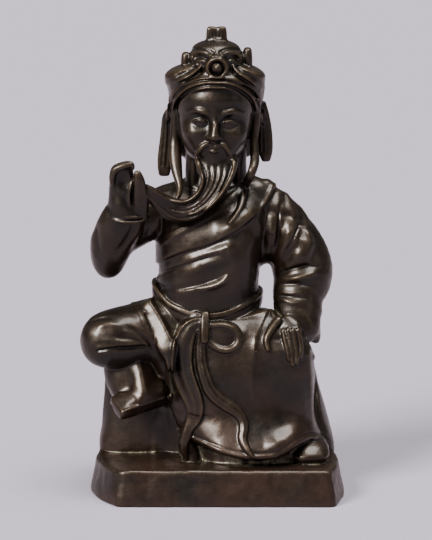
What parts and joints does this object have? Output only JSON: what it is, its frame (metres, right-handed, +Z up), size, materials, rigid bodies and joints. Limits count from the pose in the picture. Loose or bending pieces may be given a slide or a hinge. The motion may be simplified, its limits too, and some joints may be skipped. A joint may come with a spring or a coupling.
{
  "type": "seated figure statuette",
  "caption": "Dark brown bronze of a seated bearded general on a rock seat and plinth, stroking his beard with his raised right hand.",
  "frame": {"origin": "centre of the plinth's underside", "axes": "+Z up, -Y the way the figure faces, +X towards its left hand"},
  "size_m": [0.1467, 0.102, 0.2601],
  "materials": {
    "bronze": "dark brown patinated bronze, satin to glossy, worn lighter on its high spots"
  },
  "bodies": {
    "root": {"seated_general_casting": "bronze"}
  },
  "joints": []
}
